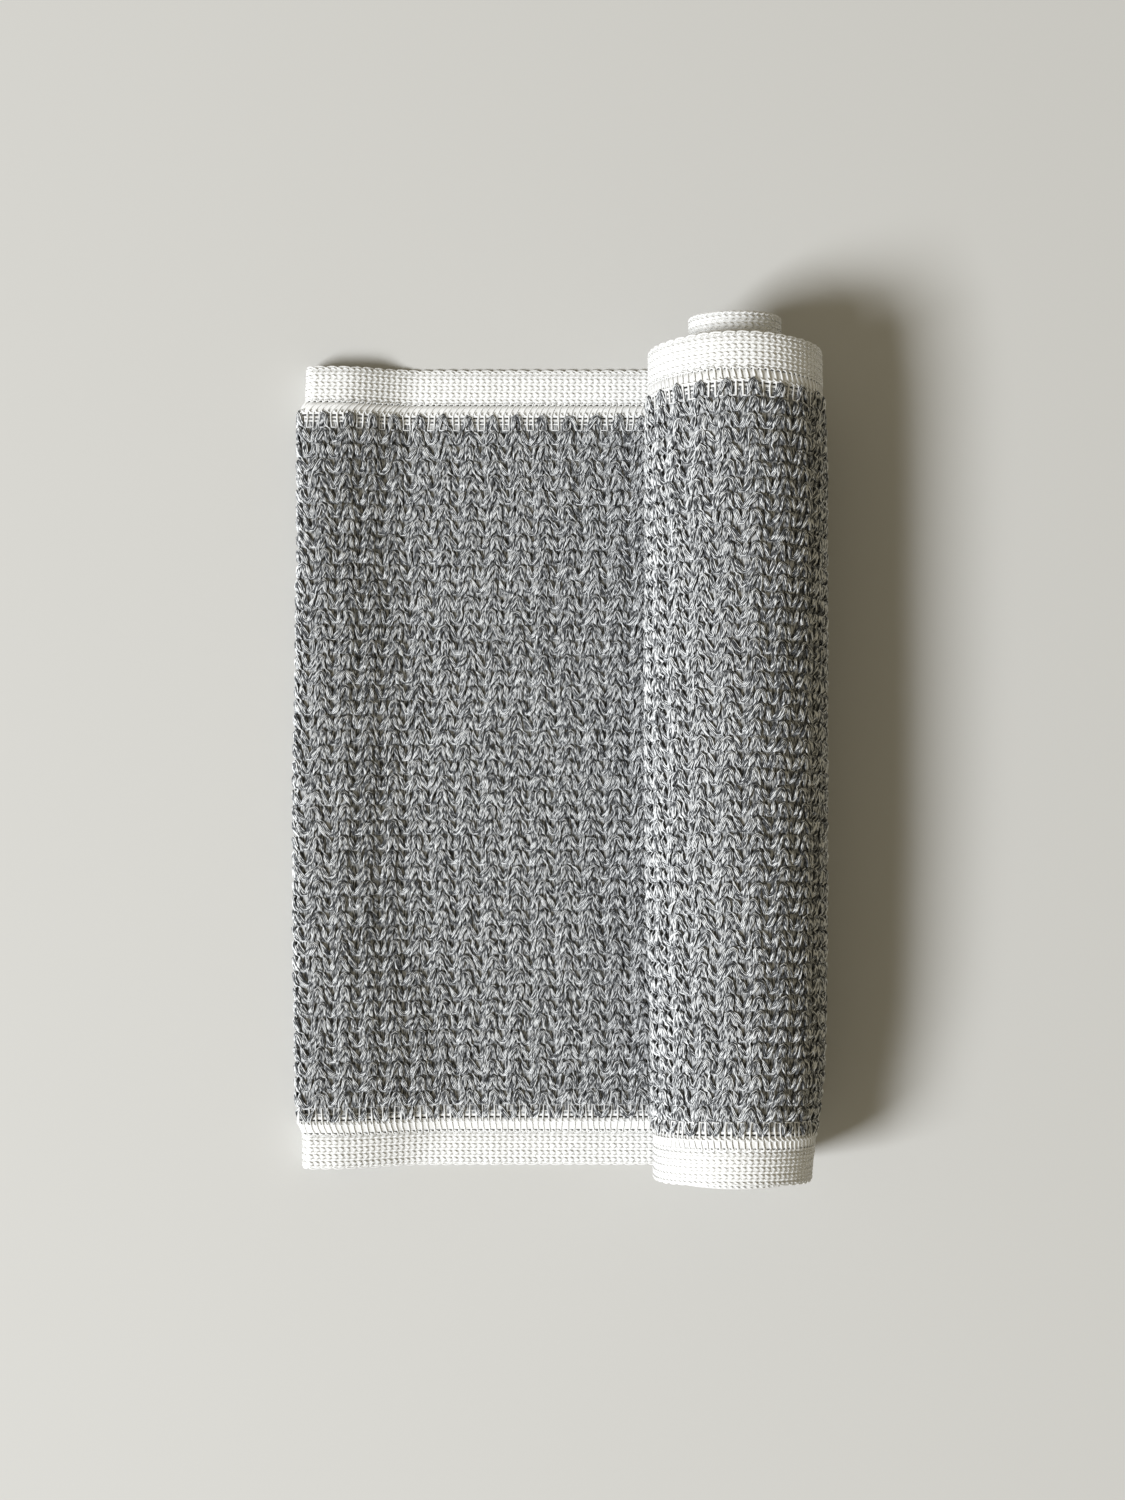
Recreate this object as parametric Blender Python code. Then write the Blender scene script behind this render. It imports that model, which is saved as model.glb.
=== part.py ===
"""Rolled body scrub towel: one knitted cloth, rolled up from its far end, its near end left lying flat.

Run with: blender --background --python part.py

The cloth is one closed solid. Its section in the XZ plane is one unbroken ribbon: the cut end is tucked
into the hem, which is turned twice, the cloth comes up over it at the fold, runs down off the hem onto the
surface, lies flat, passes under the roll and winds up into it. The section is carried along Y, the towel's
width, through a short list of stations, where the pile gives way to the thinner plain borders.

Units are metres, +Z is up. The origin is on the surface, below the middle of the towel's box.
"""

import math

import bmesh
import bpy
from mathutils import Vector

# The cloth as it is cut.
TOWEL_WIDTH = 0.280
TOWEL_LENGTH = 1.000
BORDER_WIDTH = 0.0155
PILE_THICKNESS = 0.0030
BORDER_THICKNESS = 0.0016
STEP_WIDTH = 0.0025  # where the pile thins down to the border

# The hem at the loose end, from the fold's outer face where that is straight.
CUT_END = 0.0060
TUCK_DEPTH = 0.0110  # where the cloth turns back inside the hem
TUCK_RADIUS = 0.0017  # of the cloth's middle line, round that turn
FOLD_RADIUS = 0.0027  # of the cloth's middle line, round the fold
FOLD_TO_ROLL = 0.1517  # to the line that the roll stands on
FOLD_STEPS = 6
TUCK_STEPS = 2
UNDER_STEPS = 3
RIDGE_STEPS = 13
FLAT_STEPS = 6

# The roll.
ROLL_RADIUS = 0.0303  # of the cloth's middle line, where it leaves the surface
TURN_PITCH = 0.0034  # a turn's thickness and the air between it and the next
STEPS_PER_TURN = 20

# How the hem's ridge lies at places across the towel.
# y: place across; height: the ridge's middle line above the flat cloth's; start, end: where it slopes
# down to the surface, from the fold; bulge: how far the fold stands out past the straight fold.
RIDGE = (
    # y, height, start, end, bulge
    (-0.1400, 0.0085, 0.012, 0.046, -0.0010),
    (-0.1270, 0.0084, 0.012, 0.054, -0.0010),
    (-0.1245, 0.0082, 0.012, 0.056, 0.0006),
    (-0.1120, 0.0080, 0.013, 0.060, 0.0008),
    (-0.0880, 0.0078, 0.014, 0.053, 0.0012),
    (-0.0530, 0.0077, 0.010, 0.043, 0.0016),
    (-0.0100, 0.0077, 0.009, 0.043, 0.0016),
    (0.0420, 0.0077, 0.008, 0.042, 0.0006),
    (0.0900, 0.0080, 0.007, 0.038, 0.0002),
    (0.1245, 0.0086, 0.012, 0.041, 0.0002),
    (0.1270, 0.0089, 0.014, 0.042, -0.0020),
    (0.1400, 0.0091, 0.015, 0.043, -0.0024),
)

# The roll's girth at places across the towel, as a share of its named radius, and how far the roll lies
# there along X from the line that it stands on.
GIRTH = (
    # y, share, lean
    (-0.140, 0.926, -0.0018),
    (-0.122, 0.950, -0.0012),
    (-0.100, 0.985, -0.0002),
    (-0.080, 1.000, -0.0002),
    (-0.040, 1.028, -0.0008),
    (0.000, 1.035, -0.0010),
    (0.100, 1.033, -0.0010),
    (0.122, 1.017, -0.0012),
    (0.140, 1.010, -0.0012),
)

# How far each turn has slipped along +Y. The core stands out of one end and back from the other.
SLIP = (
    # turn, slip
    (0.00, 0.0000),
    (0.25, 0.0007),
    (0.50, 0.0030),
    (0.75, 0.0009),
    (1.20, 0.0008),
    (2.00, 0.0014),
    (3.60, 0.0020),
    (4.05, 0.0126),
    (8.00, 0.0130),
)

# Stations across the inner part of the towel; the edges and the steps are added from the widths.
INNER_STATIONS = (-0.112, -0.088, -0.053, -0.010, 0.042, 0.090)

TOUCHING = 0.06  # a point lower than this share of the thickness is on the surface
SHARP_ANGLE = 40.0  # degrees

TOWEL_GREY = (0.235, 0.240, 0.240, 1.0)
TOWEL_ROUGHNESS = 0.95


def clear_scene():
    for obj in list(bpy.data.objects):
        bpy.data.objects.remove(obj, do_unlink=True)


def eased(share):
    """A share from 0 to 1 with a level start and end."""
    return share * share * (3 - 2 * share)


def read_table(table, at, column):
    """A table's column at a place on its first column, eased from row to row."""
    if at <= table[0][0]:
        return table[0][column]
    for low, high in zip(table, table[1:]):
        if at <= high[0]:
            share = (at - low[0]) / (high[0] - low[0])
            return low[column] + (high[column] - low[column]) * eased(share)
    return table[-1][column]


def stations():
    """The places across the towel, from edge to edge."""
    edge = TOWEL_WIDTH / 2
    pile_edge = edge - BORDER_WIDTH
    border_edge = pile_edge + STEP_WIDTH
    return (-edge, -border_edge, -pile_edge, *INNER_STATIONS, pile_edge, border_edge, edge)


def thickness(y):
    pile_edge = TOWEL_WIDTH / 2 - BORDER_WIDTH
    return PILE_THICKNESS if abs(y) < pile_edge + STEP_WIDTH / 2 else BORDER_THICKNESS


def hem_line(y):
    """The middle line from the cut end: round the tuck, back underneath, round the fold, down the ridge."""
    low = thickness(y) / 2
    height, start, end, bulge = (read_table(RIDGE, y, column) for column in (1, 2, 3, 4))
    fold_x = PILE_THICKNESS / 2 + FOLD_RADIUS - bulge
    points = []
    for i in range(TUCK_STEPS):
        points.append((CUT_END + (TUCK_DEPTH - CUT_END) * i / TUCK_STEPS, low + 2 * TUCK_RADIUS))
    for i in range(FOLD_STEPS):
        turned = math.pi * i / FOLD_STEPS
        rise = TUCK_RADIUS * (1 + math.cos(turned))
        points.append((TUCK_DEPTH + TUCK_RADIUS * math.sin(turned), low + rise))
    for i in range(UNDER_STEPS):
        points.append((TUCK_DEPTH + (fold_x - TUCK_DEPTH) * i / UNDER_STEPS, low))
    for i in range(FOLD_STEPS + 1):
        turned = math.pi * i / FOLD_STEPS
        rise = height * (1 - math.cos(turned)) / 2
        points.append((fold_x - FOLD_RADIUS * math.sin(turned), low + rise))
    for i in range(1, RIDGE_STEPS + 1):
        x = fold_x + (end - fold_x) * i / RIDGE_STEPS
        down = eased(max(0.0, (x - start) / (end - start)))
        points.append((x, low + height * (1 - down)))
    return points


def flat_line(y, from_x):
    """The middle line along the surface to where the roll stands, without its first point."""
    low = thickness(y) / 2
    span = FOLD_TO_ROLL - from_x
    return [(from_x + span * i / FLAT_STEPS, low) for i in range(1, FLAT_STEPS + 1)]


def line_length(points):
    return sum(math.dist(a, b) for a, b in zip(points, points[1:]))


def turns_in_roll():
    """The number of turns that takes up what the hem and the flat cloth leave of the towel's length."""
    hem = hem_line(0.0)
    loose = line_length(hem + flat_line(0.0, hem[-1][0]))
    wound = TOWEL_LENGTH - loose
    inner_radius = math.sqrt(ROLL_RADIUS**2 - wound * TURN_PITCH / math.pi)
    return (ROLL_RADIUS - inner_radius) / TURN_PITCH


def roll_line(y, turns):
    """The middle line wound up: under, up the far side, over the top and in. It has no first point.

    A narrower girth draws the turns in towards the line that the roll stands on.
    """
    low = thickness(y) / 2
    girth, lean = (read_table(GIRTH, y, column) for column in (1, 2))
    points = []
    for i in range(1, round(turns * STEPS_PER_TURN) + 1):
        turn = i / STEPS_PER_TURN
        radius = ROLL_RADIUS - TURN_PITCH * turn
        angle = 2 * math.pi * turn
        across = radius * math.sin(angle)
        above = ROLL_RADIUS - radius * math.cos(angle)
        points.append((FOLD_TO_ROLL + lean + girth * across, low + girth * above))
    return points


def middle_line(y, turns):
    """The whole section's middle line at a station, as (x, z) points, and each point's slip along Y."""
    loose = hem_line(y)
    loose += flat_line(y, loose[-1][0])
    wound = roll_line(y, turns)
    slips = [0.0] * len(loose)
    slips += [read_table(SLIP, (i + 1) / STEPS_PER_TURN, 1) for i in range(len(wound))]
    return loose + wound, slips


def two_faces(points, thick):
    """The ribbon's two faces, half a thickness to each side of its middle line."""
    upper, lower = [], []
    last = len(points) - 1
    for i, (x, z) in enumerate(points):
        before = points[max(i - 1, 0)]
        after = points[min(i + 1, last)]
        along = Vector((after[0] - before[0], after[1] - before[1])).normalized()
        side = Vector((-along.y, along.x)) * thick / 2
        upper.append((x + side.x, z + side.y))
        lower.append((x - side.x, z - side.y))
    return upper, lower


def lay_flat(upper, lower, thick):
    """Points of the lower face that rounding or the turn at a slope's foot takes off the surface go on it."""
    touching = thick * TOUCHING
    lower[:] = [(x, 0.0) if z < touching else (x, z) for x, z in lower]
    upper[:] = [(x, 0.0) if z < touching else (x, z) for x, z in upper]


def towel_mesh():
    turns = turns_in_roll()
    mesh = bpy.data.meshes.new("towel")
    bm = bmesh.new()
    rows = []  # for each station, the vertices of the ribbon's upper and lower face
    for y in stations():
        thick = thickness(y)
        points, slips = middle_line(y, turns)
        faces = two_faces(points, thick)
        lay_flat(*faces, thick)
        rows.append(
            [
                [bm.verts.new((x, y + slip, z)) for (x, z), slip in zip(face, slips)]
                for face in faces
            ]
        )
    count = len(rows[0][0])
    for (upper, lower), (next_upper, next_lower) in zip(rows, rows[1:]):
        for i in range(count - 1):
            bm.faces.new((upper[i], upper[i + 1], next_upper[i + 1], next_upper[i]))
            bm.faces.new((lower[i], next_lower[i], next_lower[i + 1], lower[i + 1]))
        for i in (0, count - 1):
            bm.faces.new((upper[i], next_upper[i], next_lower[i], lower[i]))
    for upper, lower in (rows[0], rows[-1]):
        for i in range(count - 1):
            bm.faces.new((upper[i], lower[i], lower[i + 1], upper[i + 1]))
    bmesh.ops.recalc_face_normals(bm, faces=bm.faces)
    bmesh.ops.triangulate(bm, faces=bm.faces)
    bm.to_mesh(mesh)
    bm.free()
    return mesh


def centre_on_surface(mesh):
    """Moves the mesh so that the middle of its box is over the origin and its lowest point is at z 0."""
    low, high = [[pick(v.co[k] for v in mesh.vertices) for k in range(3)] for pick in (min, max)]
    middle = Vector(((low[0] + high[0]) / 2, (low[1] + high[1]) / 2, low[2]))
    for vertex in mesh.vertices:
        vertex.co -= middle


def towel_material():
    material = bpy.data.materials.new("towel")
    material.use_nodes = True
    shader = material.node_tree.nodes["Principled BSDF"]
    shader.inputs["Base Color"].default_value = TOWEL_GREY
    shader.inputs["Roughness"].default_value = TOWEL_ROUGHNESS
    shader.inputs["Metallic"].default_value = 0.0
    material.diffuse_color = TOWEL_GREY
    return material


def main():
    clear_scene()
    mesh = towel_mesh()
    centre_on_surface(mesh)
    mesh.materials.append(towel_material())
    towel = bpy.data.objects.new("towel", mesh)
    bpy.context.scene.collection.objects.link(towel)
    mesh.shade_smooth()
    mesh.set_sharp_from_angle(angle=math.radians(SHARP_ANGLE))


main()
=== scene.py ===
"""Rolled body scrub towel: the knitted cloth as yarn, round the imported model.

Every yarn is first drawn in the flat cloth, as points of (along, across, height): metres along the towel
from the line that the roll stands on (the loose end is on the minus side, the roll on the plus side),
metres across it, and metres off the cloth's middle surface. Cloth.place() then lays those points on the
rolled cloth, whose section is the same as the solid's.
"""

import math

import bpy
import numpy as np
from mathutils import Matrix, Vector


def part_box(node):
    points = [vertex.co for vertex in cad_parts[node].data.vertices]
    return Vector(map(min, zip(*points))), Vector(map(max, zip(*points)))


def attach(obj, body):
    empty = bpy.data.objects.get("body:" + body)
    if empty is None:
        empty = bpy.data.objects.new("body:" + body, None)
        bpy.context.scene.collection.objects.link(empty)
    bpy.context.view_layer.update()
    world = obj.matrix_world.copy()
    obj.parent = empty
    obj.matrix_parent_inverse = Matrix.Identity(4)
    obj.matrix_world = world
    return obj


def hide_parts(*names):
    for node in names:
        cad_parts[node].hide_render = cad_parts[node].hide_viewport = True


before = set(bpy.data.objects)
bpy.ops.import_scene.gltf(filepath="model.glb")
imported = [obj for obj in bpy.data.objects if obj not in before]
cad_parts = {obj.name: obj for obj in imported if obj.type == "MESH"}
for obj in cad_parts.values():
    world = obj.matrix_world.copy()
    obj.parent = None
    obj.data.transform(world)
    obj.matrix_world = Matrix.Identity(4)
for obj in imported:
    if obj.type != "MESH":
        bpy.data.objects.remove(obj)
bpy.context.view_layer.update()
towel_low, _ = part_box("towel")

MM = 0.001

# The cloth as it is cut.
TOWEL_WIDTH = 0.280
TOWEL_LENGTH = 1.000
BORDER_WIDTH = 0.0155
PILE_THICKNESS = 0.0030
BORDER_THICKNESS = 0.0016
STEP_WIDTH = 0.0025  # across the towel, from the pile's thickness to the border's

# The hem at the loose end, with places measured from the fold.
CUT_END = 0.0060
TUCK_DEPTH = 0.0110
TUCK_RADIUS = 0.0017
FOLD_RADIUS = 0.0027
FOLD_TO_ROLL = 0.1517

# The roll.
ROLL_RADIUS = 0.0303
TURN_PITCH = 0.0034
LEAN_TURN = 0.05  # the share of a turn in which the roll comes over to its lean
LIFTING = 0.030  # the last part before the roll, over which outer_face() changes sides

# The ridge over the hem: how high it is above the flat cloth, where it starts to fall and where it ends,
# and how far the fold bulges out.
RIDGE = (
    # y, height, start, end, bulge
    (-0.1400, 0.0085, 0.012, 0.046, -0.0010),
    (-0.1270, 0.0084, 0.012, 0.054, -0.0010),
    (-0.1245, 0.0082, 0.012, 0.056, 0.0006),
    (-0.1120, 0.0080, 0.013, 0.060, 0.0008),
    (-0.0880, 0.0078, 0.014, 0.053, 0.0012),
    (-0.0530, 0.0077, 0.010, 0.043, 0.0016),
    (-0.0100, 0.0077, 0.009, 0.043, 0.0016),
    (0.0420, 0.0077, 0.008, 0.042, 0.0006),
    (0.0900, 0.0080, 0.007, 0.038, 0.0002),
    (0.1245, 0.0086, 0.012, 0.041, 0.0002),
    (0.1270, 0.0089, 0.014, 0.042, -0.0020),
    (0.1400, 0.0091, 0.015, 0.043, -0.0024),
)
# The roll's girth as a share of its usual one, and how far it leans away from the loose end.
GIRTH = (
    # y, share, lean
    (-0.140, 0.926, -0.0018),
    (-0.122, 0.950, -0.0012),
    (-0.100, 0.985, -0.0002),
    (-0.080, 1.000, -0.0002),
    (-0.040, 1.028, -0.0008),
    (0.000, 1.035, -0.0010),
    (0.100, 1.033, -0.0010),
    (0.122, 1.017, -0.0012),
    (0.140, 1.010, -0.0012),
)
# How far each turn has slipped out of the roll, towards the back.
SLIP = (
    # turn, slip
    (0.00, 0.0000),
    (0.25, 0.0007),
    (0.50, 0.0030),
    (0.75, 0.0009),
    (1.20, 0.0008),
    (2.00, 0.0014),
    (3.60, 0.0020),
    (4.05, 0.0126),
    (8.00, 0.0130),
)

# Where the cloth's own origin (the straight fold's outer face, the middle of the width) is in the frame.
FOLD_X = towel_low.x + max(bulge for *_, bulge in RIDGE)
MIDDLE_Y = towel_low.y + TOWEL_WIDTH / 2

# Points along each part of the loose end's line.
TUCK_POINTS = 10
TURN_POINTS = 30  # for each half turn of the hem
UNDER_POINTS = 20
RIDGE_POINTS = 60
FLAT_POINTS = 40

# The grid of points that the loose end's surface is read from.
GRID_ROWS = 71  # across the towel
GRID_COLUMNS = 900  # along it
ROW_MARGIN = 0.001  # how far short of the last row a place stays, so that a next row follows it
COLUMN_MARGIN = 0.00001  # and of the last column
NORMAL_REACH = 0.15 * MM  # to each side of a place, to find how the cloth slopes there
LOWEST = 0.05 * MM  # nothing is nearer than this to the surface that the towel lies on

# The knit.
STITCH = 2.19 * MM  # along the towel
PILE_EDGE = 16.2 * MM  # from the towel's edge to the grey yarn's outermost tips
WALES = 48  # chains across the grey part, its two edges included
WALE_PITCH = (TOWEL_WIDTH - 2 * PILE_EDGE) / (WALES - 1)
WAVE = 4 * STITCH  # one zigzag of the grey yarn, along the towel
BORDER_CHAINS = 5
CHAIN_PITCH = 2.45 * MM
FIRST_CHAIN = 1.83 * MM  # from the towel's edge to the middle of the outermost chain

SEED = 7
rng = np.random.default_rng(SEED)


def eased(share):
    return share * share * (3 - 2 * share)


def read_table(table, at, column):
    """A table's column at places on its first column, eased from row to row."""
    keys = np.array([row[0] for row in table])
    values = np.array([row[column] for row in table])
    at = np.clip(at, keys[0], keys[-1])
    row = np.clip(np.searchsorted(keys, at, side="right") - 1, 0, len(keys) - 2)
    share = (at - keys[row]) / (keys[row + 1] - keys[row])
    return values[row] + (values[row + 1] - values[row]) * eased(share)


def half_thickness(y):
    """Half the solid's thickness, which is how high its middle surface lies, eased over the step."""
    pile_edge = TOWEL_WIDTH / 2 - BORDER_WIDTH
    share = eased(np.clip((np.abs(y) - pile_edge) / STEP_WIDTH, 0, 1))
    return (PILE_THICKNESS + (BORDER_THICKNESS - PILE_THICKNESS) * share) / 2


def loose_line(y):
    """The middle line of the loose end at one place across: cut end, tuck, fold, ridge, flat cloth.

    It comes as x, z and how many of its points come before the fold.
    """
    low = float(half_thickness(y))
    height, start, end, bulge = (float(read_table(RIDGE, y, column)) for column in (1, 2, 3, 4))
    fold_x = PILE_THICKNESS / 2 + FOLD_RADIUS - bulge
    turned = np.linspace(0, math.pi, TURN_POINTS)
    tuck_x = np.linspace(CUT_END, TUCK_DEPTH, TUCK_POINTS, endpoint=False)
    under_x = np.linspace(TUCK_DEPTH, fold_x, UNDER_POINTS)[1:-1]
    ridge_x = np.linspace(fold_x, end, RIDGE_POINTS)[1:]
    flat_x = np.linspace(end, FOLD_TO_ROLL, FLAT_POINTS)[1:]
    down = eased(np.clip((ridge_x - start) / (end - start), 0, 1))
    x = (
        tuck_x,
        TUCK_DEPTH + TUCK_RADIUS * np.sin(turned),
        under_x,
        fold_x - FOLD_RADIUS * np.sin(turned),
        ridge_x,
        flat_x,
    )
    rise = (
        np.full_like(tuck_x, 2 * TUCK_RADIUS),
        TUCK_RADIUS * (1 + np.cos(turned)),
        np.zeros_like(under_x),
        height * (1 - np.cos(turned)) / 2,
        height * (1 - down),
        np.zeros_like(flat_x),
    )
    return np.concatenate(x), low + np.concatenate(rise), sum(len(part) for part in x[:3])


class Cloth:
    """The cloth's middle surface in the frame, by distance along and across the towel."""

    def __init__(self):
        self.across = np.linspace(-TOWEL_WIDTH / 2, TOWEL_WIDTH / 2, GRID_ROWS)
        x, z, before_fold = loose_line(0.0)
        steps = np.hypot(np.diff(x), np.diff(z))
        self.loose = steps.sum()
        self.fold = steps[:before_fold].sum() - self.loose
        self.wound = TOWEL_LENGTH - self.loose
        share = np.linspace(0, 1, GRID_COLUMNS)
        self.x, self.z = [], []
        for y in self.across:
            x, z, _ = loose_line(y)
            run = np.concatenate(([0], np.cumsum(np.hypot(np.diff(x), np.diff(z)))))
            self.x.append(np.interp(share * run[-1], run, x))
            self.z.append(np.interp(share * run[-1], run, z))
        self.x, self.z = np.array(self.x), np.array(self.z)

    def turn_at(self, along):
        """How many turns into the roll a distance past its standing line is."""
        inner = ROLL_RADIUS**2 - np.maximum(along, 0) * TURN_PITCH / math.pi
        return (ROLL_RADIUS - np.sqrt(inner)) / TURN_PITCH

    def along_at(self, turn):
        """The distance past the roll's standing line at which so many turns are wound."""
        return 2 * math.pi * turn * (ROLL_RADIUS - TURN_PITCH * turn / 2)

    def middle(self, along, y):
        """Points on the middle surface."""
        row = (y - self.across[0]) / (self.across[1] - self.across[0])
        row = np.clip(row, 0, GRID_ROWS - 1 - ROW_MARGIN)
        column = (along + self.loose) / self.loose * (GRID_COLUMNS - 1)
        column = np.clip(column, 0, GRID_COLUMNS - 1 - COLUMN_MARGIN)
        i, j = row.astype(int), column.astype(int)
        u, v = row - i, column - j
        loose_x, loose_z = (
            (grid[i, j] * (1 - u) + grid[i + 1, j] * u) * (1 - v)
            + (grid[i, j + 1] * (1 - u) + grid[i + 1, j + 1] * u) * v
            for grid in (self.x, self.z)
        )
        turn = self.turn_at(along)
        radius = ROLL_RADIUS - TURN_PITCH * turn
        girth = read_table(GIRTH, y, 1)
        lean = read_table(GIRTH, y, 2) * eased(np.clip(turn / LEAN_TURN, 0, 1))
        wound_x = FOLD_TO_ROLL + lean + girth * radius * np.sin(2 * math.pi * turn)
        wound_z = half_thickness(y) + girth * (ROLL_RADIUS - radius * np.cos(2 * math.pi * turn))
        in_roll = along > 0
        x = np.where(in_roll, wound_x, loose_x)
        z = np.where(in_roll, wound_z, loose_z)
        slip = np.where(in_roll, read_table(SLIP, turn, 1), 0.0)
        return np.stack((x + FOLD_X, y + slip + MIDDLE_Y, z), axis=-1)

    def place(self, points):
        """Flat points of (along, across, height) as points in the frame, none below the surface."""
        along, y, height = points[..., 0], points[..., 1], points[..., 2]
        along = np.clip(along, NORMAL_REACH - self.loose, self.wound)
        down_towel = self.middle(along + NORMAL_REACH, y) - self.middle(along - NORMAL_REACH, y)
        across = self.middle(along, y + NORMAL_REACH) - self.middle(along, y - NORMAL_REACH)
        normal = np.cross(down_towel, across)
        normal /= np.linalg.norm(normal, axis=-1, keepdims=True)
        placed = self.middle(along, y) + normal * height[..., None]
        placed[..., 2] = np.maximum(placed[..., 2], LOWEST)
        return placed


cloth = Cloth()


def outer_face(along):
    """The side of the cloth that shows: 1 above on the loose end, -1 outside on the roll, eased between."""
    return 2 * eased(np.clip(-along / LIFTING, 0, 1)) - 1


def smooth_path(points, count):
    """A rounded line through points, given as (path, point, value), read at count even steps."""
    last = points.shape[1] - 1
    at = np.linspace(0, last, count)
    i = np.minimum(at.astype(int), last - 1)
    t = (at - i)[None, :, None]
    a, b, c, d = (points[:, np.clip(i + k, 0, last)] for k in (-1, 0, 1, 2))
    return 0.5 * (
        2 * b + (c - a) * t + (2 * a - 5 * b + 4 * c - d) * t**2 + (3 * b - a - 3 * c + d) * t**3
    )


TINY = 1e-12  # keeps a vector without length from being divided by nothing


def unit(vectors):
    return vectors / np.maximum(np.linalg.norm(vectors, axis=-1, keepdims=True), TINY)


def path_sides(paths):
    """Each point's sideways direction in the cloth, and its direction off the cloth."""
    ahead = unit(np.gradient(paths, axis=1))
    side = unit(np.cross(ahead, (0.0, 0.0, 1.0)))
    return side, np.cross(side, ahead)


def run_length(paths):
    steps = np.linalg.norm(np.diff(paths, axis=1), axis=-1)
    return np.concatenate((np.zeros((len(paths), 1)), np.cumsum(steps, axis=1)), axis=1)


def tube_skin(paths, radius, sides, thick=1.0, face=1):
    """Closed tubes along paths of (path, point, 3), as a skin: see make_object.

    thick is a tube's height off the cloth as a share of its width. face is the side of the cloth that a
    three-sided tube's top edge is on.
    """
    count, points = paths.shape[:2]
    side, off = path_sides(paths)
    angle = 2 * math.pi * (np.arange(sides) + 0.5) / sides - face * math.pi / 2
    ring = (
        paths[:, :, None]
        + radius * np.cos(angle)[:, None] * side[:, :, None]
        + radius * thick * np.sin(angle)[:, None] * off[:, :, None]
    )
    index = np.arange(count * points * sides).reshape(count, points, sides)
    turned = np.roll(index, -1, axis=2)
    quads = np.stack((index[:, :-1], index[:, 1:], turned[:, 1:], turned[:, :-1]), axis=-1)
    caps = np.stack((index[:, 0], index[:, -1, ::-1]), axis=1)
    run = run_length(paths) + rng.uniform(0, 1, (count, 1))
    u = np.broadcast_to(run[:, :, None], index.shape)
    low = np.broadcast_to(np.arange(sides) / sides, index.shape)
    high = low + 1 / sides
    quad_u = np.stack((u[:, :-1], u[:, 1:], u[:, 1:], u[:, :-1]), axis=-1)
    quad_v = np.stack((low[:, :-1], low[:, 1:], high[:, 1:], high[:, :-1]), axis=-1)
    cap_u = np.stack((u[:, 0], u[:, -1]), axis=1)
    cap_v = np.stack((low[:, 0], low[:, -1]), axis=1)
    corners = np.concatenate((quads.ravel(), caps.ravel()))
    sizes = np.concatenate((np.full(quads.size // 4, 4), np.full(count * 2, sides)))
    yarn = np.concatenate(
        [
            np.stack(pair, axis=-1).reshape(-1, 2)
            for pair in ((quad_u, quad_v), (cap_u, cap_v))
        ]
    )
    return ring.reshape(-1, 3), corners, sizes, yarn


def sheet_skin(along, across, height, thick):
    """A closed thin sheet over grids of along and across, its middle at height, as a skin."""
    shells = [
        np.stack((along, across, height + offset), axis=-1).reshape(-1, 3)
        for offset in (thick / 2, -thick / 2)
    ]
    rows, columns = along.shape
    under = rows * columns
    index = np.arange(under).reshape(rows, columns)
    top = np.stack((index[:-1, :-1], index[1:, :-1], index[1:, 1:], index[:-1, 1:]), axis=-1)
    top = top.reshape(-1, 4)
    rim = np.concatenate((index[:, 0], index[-1, 1:], index[-2::-1, -1], index[0, -2:0:-1]))
    after = np.roll(rim, -1)
    wall = np.stack((rim, rim + under, after + under, after), axis=-1)
    faces = np.concatenate((top, top[:, ::-1] + under, wall))
    points = np.concatenate(shells)
    return points, faces.ravel(), np.full(len(faces), 4), points[faces.ravel(), :2]


def make_object(name, skins, material):
    """One mesh of skins, each (flat points, corners' point numbers, faces' sizes, corners' yarn places).

    A corner's yarn place is how far along its yarn and what share round it, or along and across a sheet.
    """
    points, corners, sizes, yarn = zip(*skins)
    before = np.concatenate(([0], np.cumsum([len(each) for each in points])[:-1]))
    vertices = cloth.place(np.concatenate(points)).astype(np.float32)
    corners = np.concatenate([each + k for each, k in zip(corners, before)]).astype(np.int32)
    sizes = np.concatenate(sizes).astype(np.int32)
    mesh = bpy.data.meshes.new(name)
    mesh.vertices.add(len(vertices))
    mesh.vertices.foreach_set("co", vertices.ravel())
    mesh.loops.add(len(corners))
    mesh.loops.foreach_set("vertex_index", corners)
    mesh.polygons.add(len(sizes))
    starts = np.concatenate(([0], np.cumsum(sizes)[:-1])).astype(np.int32)
    mesh.polygons.foreach_set("loop_start", starts)
    mesh.update(calc_edges=True)
    layer = mesh.uv_layers.new(name="yarn")
    layer.uv.foreach_set("vector", np.concatenate(yarn).astype(np.float32).ravel())
    mesh.validate()
    mesh.shade_smooth()
    mesh.materials.append(material)
    piece = bpy.data.objects.new(name, mesh)
    bpy.context.scene.collection.objects.link(piece)
    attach(piece, "root")
    return piece


SPECULAR = 0.25
YARN_SHEEN = 0.15
SHEEN_ROUGHNESS = 0.6


def new_material(name, roughness, sheen=0.0):
    material = bpy.data.materials.new(name)
    material.use_nodes = True
    tree = material.node_tree
    shader = tree.nodes["Principled BSDF"]
    shader.inputs["Roughness"].default_value = roughness
    shader.inputs["Specular IOR Level"].default_value = SPECULAR
    shader.inputs["Sheen Weight"].default_value = sheen
    shader.inputs["Sheen Roughness"].default_value = SHEEN_ROUGHNESS
    return material, tree, shader


def calculate(tree, operation, *values):
    """One step of arithmetic on numbers and on other nodes' outputs."""
    node = tree.nodes.new("ShaderNodeMath")
    node.operation = operation
    for socket, value in zip(node.inputs, values):
        if isinstance(value, bpy.types.NodeSocket):
            tree.links.new(value, socket)
        else:
            socket.default_value = value
    return node.outputs[0]


def yarn_place(tree):
    """The yarn places that make_object gives to a mesh's corners."""
    where = tree.nodes.new("ShaderNodeUVMap")
    where.uv_map = "yarn"
    return where.outputs["UV"]


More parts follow.
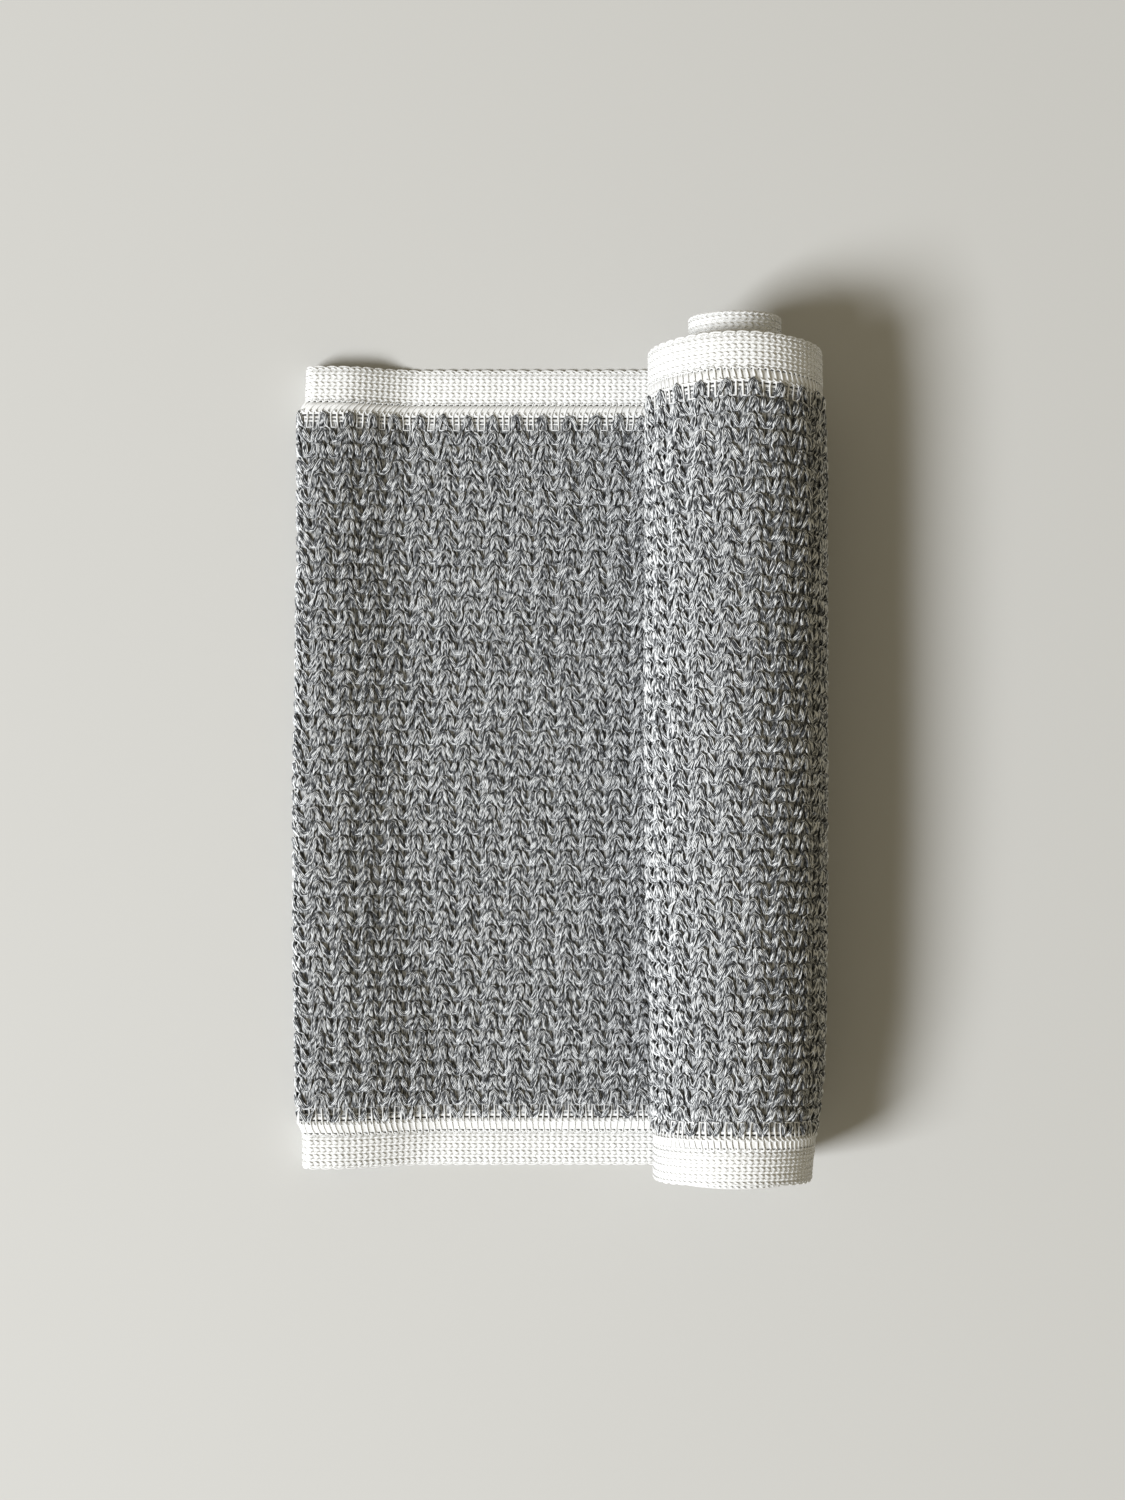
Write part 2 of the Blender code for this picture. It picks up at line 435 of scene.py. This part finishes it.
def fibre_noise(tree, along, around):
    """Noise with so many waves for each metre along the yarn and for each turn round it.

    On a sheet the second number is for each metre across it.
    """
    stretch = tree.nodes.new("ShaderNodeVectorMath")
    stretch.operation = "MULTIPLY"
    stretch.inputs[1].default_value = (along, around, 1.0)
    noise = tree.nodes.new("ShaderNodeTexNoise")
    noise.inputs["Scale"].default_value = 1.0
    noise.inputs["Detail"].default_value = 2.0
    tree.links.new(yarn_place(tree), stretch.inputs[0])
    tree.links.new(stretch.outputs["Vector"], noise.inputs["Vector"])
    return noise.outputs["Fac"]


def add_colour(tree, shader, factor, stops):
    """The shader's colour, from stops of (factor, colour)."""
    ramp = tree.nodes.new("ShaderNodeValToRGB")
    elements = ramp.color_ramp.elements
    while len(elements) > 1:
        elements.remove(elements[-1])
    elements[0].position, elements[0].color = stops[0][0], (*stops[0][1], 1.0)
    for position, colour in stops[1:]:
        elements.new(position).color = (*colour, 1.0)
    tree.links.new(factor, ramp.inputs["Fac"])
    tree.links.new(ramp.outputs["Color"], shader.inputs["Base Color"])


def add_bump(tree, shader, height, depth):
    bump = tree.nodes.new("ShaderNodeBump")
    bump.inputs["Strength"].default_value = 1.0
    bump.inputs["Distance"].default_value = depth
    tree.links.new(height, bump.inputs["Height"])
    tree.links.new(bump.outputs["Normal"], shader.inputs["Normal"])


MARL_STOPS = (
    # noise, colour of the fibres
    (0.30, (0.060, 0.063, 0.067)),
    (0.38, (0.135, 0.141, 0.148)),
    (0.43, (0.320, 0.330, 0.338)),
    (0.48, (0.650, 0.668, 0.675)),
    (0.54, (0.900, 0.913, 0.912)),
)
WHITE_STOPS = (
    # noise, colour of the fibres
    (0.30, (0.790, 0.790, 0.775)),
    (0.65, (0.900, 0.905, 0.895)),
)
GROUND_SHADE_SHIFT = 0.05  # painted shade: how much further up the noise the ground's stops are than the marl's, which darkens it
GROUND_SHADE_SHARE = 0.66  # painted shade: the ground's share of the marl's brightness
STRAND_TOP = 1 / 3  # the place round a three-sided strand of its outermost edge, where the painted shade is lightest
PAINTED_CREVICE_SHADE = 0.21  # painted shade: how far down the noise the marl goes from a strand's top to its lower edges, where the strands meet


def marl_material():
    """Grey marl yarn: charcoal, grey and off-white fibres along each strand, with painted shade that darkens
    each strand towards its lower edges, between strands.
    """
    material, tree, shader = new_material("marl_yarn", roughness=0.9)
    fibres = fibre_noise(tree, along=500.0, around=1.6)
    parts = tree.nodes.new("ShaderNodeSeparateXYZ")
    tree.links.new(yarn_place(tree), parts.inputs[0])
    # painted shade: the fibres' noise is pulled down away from each strand's top edge, so its lower edges
    # come out darker
    off_top = calculate(tree, "SUBTRACT", parts.outputs["Y"], STRAND_TOP)
    distance = calculate(tree, "ABSOLUTE", off_top)
    shaded = calculate(tree, "MULTIPLY_ADD", distance, -PAINTED_CREVICE_SHADE / STRAND_TOP, fibres)
    add_colour(tree, shader, shaded, MARL_STOPS)
    add_bump(tree, shader, fibres, depth=0.15 * MM)
    return material


def white_material():
    """Off-white cotton yarn with its fibres as fine lines."""
    material, tree, shader = new_material("white_yarn", roughness=0.85, sheen=YARN_SHEEN)
    fibres = fibre_noise(tree, along=300.0, around=3.0)
    add_colour(tree, shader, fibres, WHITE_STOPS)
    add_bump(tree, shader, fibres, depth=0.10 * MM)
    return material


def ground_material():
    """The knit between the grey yarns: the same fibres, darkened as painted shade for lying deeper in the
    cloth.
    """
    material, tree, shader = new_material("ground_knit", roughness=0.95, sheen=YARN_SHEEN)
    fibres = fibre_noise(tree, along=1900.0, around=380.0)
    # painted shade: the marl's stops, shifted up the noise and darkened, for the shade deep in the cloth
    # between the grey yarns
    stops = [
        (at + GROUND_SHADE_SHIFT, tuple(GROUND_SHADE_SHARE * part for part in colour)) for at, colour in MARL_STOPS
    ]
    add_colour(tree, shader, fibres, stops)
    add_bump(tree, shader, fibres, depth=0.30 * MM)
    return material


# The grey yarn's zigzag, from a top over one wale down to a foot on the second wale below it. Its four
# strands lie side by side in each row and change places where the yarn dips under the wale between.
ZIGZAG = (
    # along (waves), down (wales), height off the middle surface, twist (half turns)
    (0.000, 0.10, 0.95 * MM, 0.00),
    (0.070, 0.20, 1.10 * MM, 0.00),
    (0.120, 0.47, 1.00 * MM, 0.05),
    (0.175, 0.79, 0.85 * MM, 0.25),
    (0.220, 0.99, -0.55 * MM, 0.50),
    (0.270, 1.19, 0.75 * MM, 0.75),
    (0.345, 1.50, 0.95 * MM, 0.95),
    (0.415, 1.76, 0.50 * MM, 1.00),
)
FOOT = (0.500, 1.90, -0.60 * MM, 1.00)
QUARTER = 4  # the table's points from a top to a crossing, and from there to a foot
YARN_SAMPLES = 15  # points for each wave
STRAND_RADIUS = 0.34 * MM
STRANDS = (
    # place across the yarn, lift off the cloth
    (-0.74 * MM, -0.05 * MM),
    (-0.25 * MM, 0.25 * MM),
    (0.25 * MM, 0.20 * MM),
    (0.74 * MM, 0.00),
)
STRAND_LEAN = 0.45  # how high the strands lie over each other at a crossing, as a share of their places

# How far the grey yarn strays, as standard deviations: its tops, crossings and feet by the first two
# numbers, and each point of it by the others.
STRAY_ALONG = 0.34 * MM
STRAY_DOWN = 0.05  # wales
POINT_ALONG = 0.05 * MM
POINT_DOWN = 0.01  # wales
POINT_HEIGHT = 0.10 * MM
POINT_TWIST = 0.10  # half turns
SWAY = (
    # size, scale, seed of the slow unevenness along the towel
    (0.80 * MM, 0.050, 3),
    (0.35 * MM, 0.012, 4),
)
SWAY_WAVES = 5
SWAY_RANGE = (0.4, 1.6)  # how often a wave turns within one scale

PAST_FOLD = 2.0 * MM  # how far under the fold the grey yarn starts
FLAT_PILE_END = -4.0 * MM  # on the loose end
ROLL_PILE_TURNS = 0.95  # as far as it goes round the roll


def wander(along, y, scale, seed):
    """A slow, smooth unevenness between about -1 and 1."""
    draw = np.random.default_rng(seed)
    total = 0.0
    for _ in range(SWAY_WAVES):
        turn_a, turn_b = draw.uniform(*SWAY_RANGE, 2) * 2 * math.pi / scale
        phase = draw.uniform(0, 2 * math.pi)
        total = total + np.sin(turn_a * along + draw.choice((-1, 1)) * turn_b * y + phase)
    return total / (SWAY_WAVES / 2)


def drift(shape, size):
    """Random shifts of the yarns' tops, crossings and feet, shared out evenly over the points between."""
    knots = rng.normal(0, size, (shape[0], shape[1] // QUARTER + 2))
    at = np.arange(shape[1]) / QUARTER
    i = at.astype(int)
    return knots[:, i] * (1 - at + i) + knots[:, i + 1] * (at - i)


def zigzag_paths(tops, start, end, face):
    """The centre lines of the grey yarns that hang from the wales in tops, and their strands' twist."""
    half = np.array(ZIGZAG)
    foot = np.array([FOOT])
    back = half[:0:-1] * (-1, 1, 1, -1) + (1, 0, 0, 2)
    wave = np.concatenate((half, foot, back))
    waves = int(round((end - start) / WAVE))
    repeats = [wave + (k, 0, 0, 2 * k) for k in range(waves)]
    table = np.concatenate(repeats + [half[:1] + (waves, 0, 0, 2 * waves)])
    shape = (len(tops), len(table))
    rows = np.array(tops, float)[:, None]
    along = start + table[:, 0] * WAVE + drift(shape, STRAY_ALONG) + rng.normal(0, POINT_ALONG, shape)
    down = rows + table[:, 1] + drift(shape, STRAY_DOWN) + rng.normal(0, POINT_DOWN, shape)
    height = table[:, 2] + rng.normal(0, POINT_HEIGHT, shape)
    twist = math.pi * (table[:, 3] + rng.normal(0, POINT_TWIST, shape))
    y = TOWEL_WIDTH / 2 - PILE_EDGE - down * WALE_PITCH
    along = sum([size * wander(along, y, scale, seed) for size, scale, seed in SWAY], along)
    points = np.stack((along, y, face * height, twist), axis=-1)
    points = smooth_path(points, waves * YARN_SAMPLES + 1)
    return points[..., :3], points[..., 3:]


def stranded(paths, twist, face):
    """The strands that lie side by side in each yarn."""
    side, off = path_sides(paths)
    across = np.cos(twist) * side + STRAND_LEAN * np.sin(twist) * off
    return np.concatenate([paths + place * across + face * lift * off for place, lift in STRANDS])


def make_pile(material):
    """The grey yarns on the face that shows: above on the loose end, outside on the roll."""
    pieces = []
    yarns = WALES - 2
    halves = (("back", range(0, yarns // 2)), ("front", range(yarns // 2, yarns)))
    parts = (
        # name, start, end, face
        ("flat", cloth.fold - PAST_FOLD, FLAT_PILE_END, 1),
        ("roll", 0.0, cloth.along_at(ROLL_PILE_TURNS), -1),
    )
    for side, tops in halves:
        for part, start, end, face in parts:
            strands = stranded(*zigzag_paths(tops, start, end, face), face)
            skin = tube_skin(strands, STRAND_RADIUS, sides=3, face=face)
            pieces.append(make_object(f"pile_{part}_{side}", [skin], material))
    return pieces


CHAIN_RADIUS = 0.38 * MM
CHAIN_THICK = 0.8  # the height of a chain's thread off the cloth, as a share of its width
CHAIN_LEG = 0.62 * MM  # from a chain's middle line to each of its two legs
CHAIN_STITCH = (
    # swing of a leg away from the chain's middle line, height
    (0.30 * MM, -0.05 * MM),
    (0.15 * MM, 0.35 * MM),
    (-0.08 * MM, 0.40 * MM),
    (-0.32 * MM, 0.05 * MM),
)
POINT_THREAD = 0.05 * MM  # how far each point of a chain or of the edge thread strays

# The chain under the grey yarn's tips.
TIP_CHAIN_RADIUS = 0.34 * MM
TIP_CHAIN_OUT = 0.2 * MM  # how far its middle line is outside the tips
TIP_CHAIN_END = -3.0 * MM  # on the loose end
TIP_CHAIN_TURNS = 1.0  # as far as it goes round the roll
LOOP_STEPS = 6  # points for each of its loops
LOOP_ALONG = 0.60 * MM
LOOP_ACROSS = 0.45 * MM
LOOP_HEIGHT = 0.35 * MM
LOOP_PHASE = 0.6  # by which a loop's height comes before its swing along the towel, in radians

RUNG = (
    # in from the edge, height
    (21.4 * MM, 0.00),
    (18.6 * MM, 0.20 * MM),
    (16.4 * MM, 0.45 * MM),
    (14.4 * MM, 0.30 * MM),
    (12.8 * MM, 0.25 * MM),
    (11.6 * MM, 0.00),
)
RUNG_RADIUS = 0.42 * MM
RUNG_SLANT = 0.7 * MM  # along the towel, from the chains to the grey yarn's tips
SLANT_START = 12.7 * MM  # in from the edge
SLANT_WIDTH = 3.3 * MM
RUNG_END = -1.0 * MM  # on the loose end
POINT_RUNG = 0.08 * MM  # how far each point of a rung strays
RUNG_SWAY = (0.4 * MM, 0.03, 9)  # size, scale, seed

SCALLOP = (
    # share of two stitches, in from the edge
    (0.00, 0.95 * MM),
    (0.15, 0.52 * MM),
    (0.38, 0.36 * MM),
    (0.62, 0.36 * MM),
    (0.85, 0.52 * MM),
)
SCALLOP_RADIUS = 0.34 * MM

# The plain knit behind the threads of the border.
STRIPS = (
    # outer side, inner side (in from the edge), how far its middle lies behind the middle surface, thickness
    (0.55 * MM, 12.2 * MM, 0.0, 0.3 * MM),
    (12.8 * MM, 16.9 * MM, 0.0, 0.5 * MM),
    (17.5 * MM, 19.5 * MM, 0.30 * MM, 0.4 * MM),
)
STRIP_COLUMNS = 4
STRIP_STEP = 2.2 * MM
HEM_STEP = 0.7 * MM  # where the cloth turns
HEM_LENGTH = 20.0 * MM  # past the fold, where a strip has the hem's step

BORDER_MARGIN = 0.8 * MM  # from the cloth's cut ends to the border's
OUTSIDE_TURNS = 1.15  # as far as the border shows outside the roll
CORE_TURNS = (3.6, 5.5)  # where it shows again, on the core that stands out


def leg_paths(across, start, end):
    """The two legs of a chain of V stitches that runs along the towel at a place across it."""
    stitches = int(round((end - start) / STITCH))
    stitch = np.array(CHAIN_STITCH)
    count = stitches * len(stitch)
    swing, height = np.tile(stitch, (stitches, 1)).T
    along = start + STITCH * np.arange(count) / len(stitch)
    height = height * outer_face(along)
    legs = [
        np.stack((along, across + way * (CHAIN_LEG + swing), height), axis=-1) for way in (-1, 1)
    ]
    return np.array(legs) + rng.normal(0, POINT_THREAD, (2, count, 3))


def tip_chain_paths(across, start, end, face):
    """The thin chain under the grey yarn's tips: one strand in flattened loops along the towel."""
    stitches = int(round((end - start) / STITCH))
    t = np.arange(stitches * LOOP_STEPS + 1) / LOOP_STEPS
    turned = 2 * math.pi * t
    along = start + STITCH * t - LOOP_ALONG * np.sin(turned)
    y = across + LOOP_ACROSS * np.cos(turned)
    height = face * LOOP_HEIGHT + LOOP_HEIGHT * np.sin(turned + LOOP_PHASE)
    path = np.stack((along, y, height), axis=-1)
    return (path + rng.normal(0, POINT_THREAD, path.shape))[None]


def scallop_paths(edge_side, start, end):
    """The thread along the edge, in one shallow bow for every two stitches."""
    bows = int(round((end - start) / (2 * STITCH)))
    bow = np.array(SCALLOP)
    share, inward = np.tile(bow, (bows, 1)).T
    along = start + 2 * STITCH * (share + np.repeat(np.arange(bows), len(bow)))
    path = np.stack((along, edge_side * (TOWEL_WIDTH / 2 - inward), np.zeros_like(along)), axis=-1)
    return (path + rng.normal(0, POINT_THREAD, path.shape))[None]


def rung_paths(edge_side, start, end, face):
    """The thread that runs to and fro between the chains and the grey part, one rung for each stitch."""
    rungs = int(round((end - start) / STITCH))
    rows = []
    for k in range(rungs):
        run = RUNG if k % 2 == 0 else RUNG[::-1]
        rows += [(start + k * STITCH, inward, height) for inward, height in run]
    along, inward, height = np.array(rows).T
    along = along + rng.normal(0, POINT_RUNG, len(rows))
    size, scale, seed = RUNG_SWAY
    along = along + size * wander(along, inward, scale, seed)
    along = along - edge_side * RUNG_SLANT * np.clip((inward - SLANT_START) / SLANT_WIDTH, 0, 1)
    across = edge_side * (TOWEL_WIDTH / 2 - inward)
    return np.stack((along, across, face * height), axis=-1)[None]


def make_border(name, edge_side, material):
    """The white border on one side: its strips, edge thread, chains, rungs and the chain under the tips.

    Only the strips and the outermost chain are drawn where other turns of the roll hide the border.
    """
    edge = TOWEL_WIDTH / 2
    start, end = BORDER_MARGIN - cloth.loose, cloth.wound - BORDER_MARGIN
    outside = cloth.along_at(OUTSIDE_TURNS)
    core = [tuple(cloth.along_at(turn) for turn in CORE_TURNS)] if edge_side > 0 else []
    shown = [(start, outside), *core]
    hem_end = cloth.fold + HEM_LENGTH
    along = np.concatenate((np.arange(start, hem_end, HEM_STEP), np.arange(hem_end, end, STRIP_STEP)))
    skins = []
    for outer, inner, depth, thick in STRIPS:
        inward = np.linspace(outer, inner, STRIP_COLUMNS)
        grid, across = np.meshgrid(along, edge_side * (edge - inward), indexing="ij")
        skins.append(sheet_skin(grid, across, -depth * outer_face(grid), thick))
    skins.append(tube_skin(scallop_paths(edge_side, start, outside), SCALLOP_RADIUS, sides=4))
    for k in range(BORDER_CHAINS):
        across = edge_side * (edge - FIRST_CHAIN - k * CHAIN_PITCH)
        for a, b in shown if k else [(start, end)]:
            skins.append(tube_skin(leg_paths(across, a, b), CHAIN_RADIUS, sides=4, thick=CHAIN_THICK))
    across = edge_side * (edge - PILE_EDGE + TIP_CHAIN_OUT)
    for face, a, b in ((1, cloth.fold, TIP_CHAIN_END), (-1, 0.0, cloth.along_at(TIP_CHAIN_TURNS))):
        skins.append(tube_skin(tip_chain_paths(across, a, b, face), TIP_CHAIN_RADIUS, sides=3))
    rungs = [(1, start, RUNG_END), (-1, 0.0, outside)] + [(-1, a, b) for a, b in core]
    for face, a, b in rungs:
        skins.append(tube_skin(rung_paths(edge_side, a, b, face), RUNG_RADIUS, sides=3))
    return make_object(name, skins, material)


GROUND_THICKNESS = 0.7 * MM
GROUND_EDGE = 0.40  # wales, from the grey yarn's outermost tips to the ground's edge
GROUND_ROW = (
    # share of a wale, how far the ground's middle lies behind the cloth's middle surface
    (0.00, 0.60 * MM),
    (0.24, 0.40 * MM),
    (0.76, 0.40 * MM),
)
HIDDEN_DEPTH = 0.5 * MM  # the same, where the ground doesn't show
HIDDEN_COLUMNS = 28
HIDDEN_POINTS = 150

# The part of the ground that shows, along the towel.
RIDGE_LENGTH = 50.0 * MM  # past the fold
RIDGE_STEP = 1.2 * MM
FLAT_STEP = 5.0 * MM
FLAT_GROUND_END = -5.0 * MM
GROUND_TURNS = 1.02
GROUND_POINTS = 90  # on the roll


def ground_skin(along, fine):
    """Part of the ground: with a dip at each wale where it shows, or even where it doesn't."""
    if fine:
        rows = range(1, WALES - 2)
        inner = [(row + share, depth) for row in rows for share, depth in GROUND_ROW]
        last = (WALES - 2, GROUND_ROW[0][1])
        rim = GROUND_ROW[1][1]
        down, depth = np.array([(GROUND_EDGE, rim), *inner, last, (WALES - 1 - GROUND_EDGE, rim)]).T
    else:
        down = np.linspace(1, WALES - 2, HIDDEN_COLUMNS)
        depth = np.full(HIDDEN_COLUMNS, HIDDEN_DEPTH)
    across = TOWEL_WIDTH / 2 - PILE_EDGE - down * WALE_PITCH
    along, across = np.meshgrid(along, across, indexing="ij")
    return sheet_skin(along, across, -depth * outer_face(along), GROUND_THICKNESS)


def make_ground(material):
    """The knitted ground along the whole towel, behind the grey yarn."""
    ridge_end = cloth.fold + RIDGE_LENGTH
    shown_end = cloth.along_at(GROUND_TURNS)
    shown = np.concatenate(
        (
            np.arange(cloth.fold, ridge_end, RIDGE_STEP),
            np.arange(ridge_end, FLAT_GROUND_END, FLAT_STEP),
            np.linspace(FLAT_GROUND_END, shown_end, GROUND_POINTS),
        )
    )
    skins = [
        ground_skin(np.arange(-cloth.loose, cloth.fold, HEM_STEP), False),
        ground_skin(shown, True),
        ground_skin(np.linspace(shown_end, cloth.wound, HIDDEN_POINTS), False),
    ]
    return make_object("towel_cloth", skins, material)


FLOOR_SIZE = 12.0
FLOOR_HEIGHT = -0.0001  # so that the towel's underside isn't in the floor's own plane
FLOOR_COLOUR = (0.60, 0.597, 0.575, 1.0)


def make_floor():
    bpy.ops.mesh.primitive_plane_add(size=FLOOR_SIZE, location=(0, 0, FLOOR_HEIGHT))
    floor = bpy.context.object
    floor.name = "floor"
    material, _, shader = new_material("pale_floor", roughness=0.9)
    shader.inputs["Base Color"].default_value = FLOOR_COLOUR
    floor.data.materials.append(material)


LIGHT_FROM = np.array((-0.650, -0.303, 0.697))
LIGHT_DISTANCE = 4.0
LIGHT_SIZE = 1.30
LIGHT_POWER = 198.0
LIGHT_COLOUR = (0.97, 0.993, 1.035)
SKY_COLOUR = (1.0, 0.885, 0.635, 1.0)
SKY_STRENGTH = 0.262


def make_lights():
    """A soft window from the front left, and a warm, even sky."""
    light = bpy.data.lights.new("window", "AREA")
    light.shape = "SQUARE"
    light.size = LIGHT_SIZE
    light.energy = LIGHT_POWER
    light.color = LIGHT_COLOUR
    lamp = bpy.data.objects.new("window", light)
    direction = LIGHT_FROM / np.linalg.norm(LIGHT_FROM)
    lamp.location = direction * LIGHT_DISTANCE
    lamp.rotation_mode = "QUATERNION"
    lamp.rotation_quaternion = Vector(direction).to_track_quat("Z", "Y")
    bpy.context.scene.collection.objects.link(lamp)
    world = bpy.data.worlds.new("room")
    world.use_nodes = True
    background = world.node_tree.nodes["Background"]
    background.inputs["Color"].default_value = SKY_COLOUR
    background.inputs["Strength"].default_value = SKY_STRENGTH
    bpy.context.scene.world = world
    bpy.context.scene.view_settings.view_transform = "Standard"


CAMERA_AT = (0.0025, -0.0003, 0.793)
CAMERA_LENS = 54.0
CAMERA_SENSOR = 36.0


def make_camera():
    """Straight above the towel, its width running up the picture."""
    data = bpy.data.cameras.new("camera")
    data.lens = CAMERA_LENS
    data.sensor_width = CAMERA_SENSOR
    camera = bpy.data.objects.new("camera", data)
    camera.location = CAMERA_AT
    bpy.context.scene.collection.objects.link(camera)
    bpy.context.scene.camera = camera


def main():
    make_camera()
    make_floor()
    make_lights()
    marl = marl_material()
    white = white_material()
    ground = make_ground(ground_material())
    pile = make_pile(marl)
    borders = [make_border("border_back", 1, white), make_border("border_front", -1, white)]
    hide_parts("towel")


main()
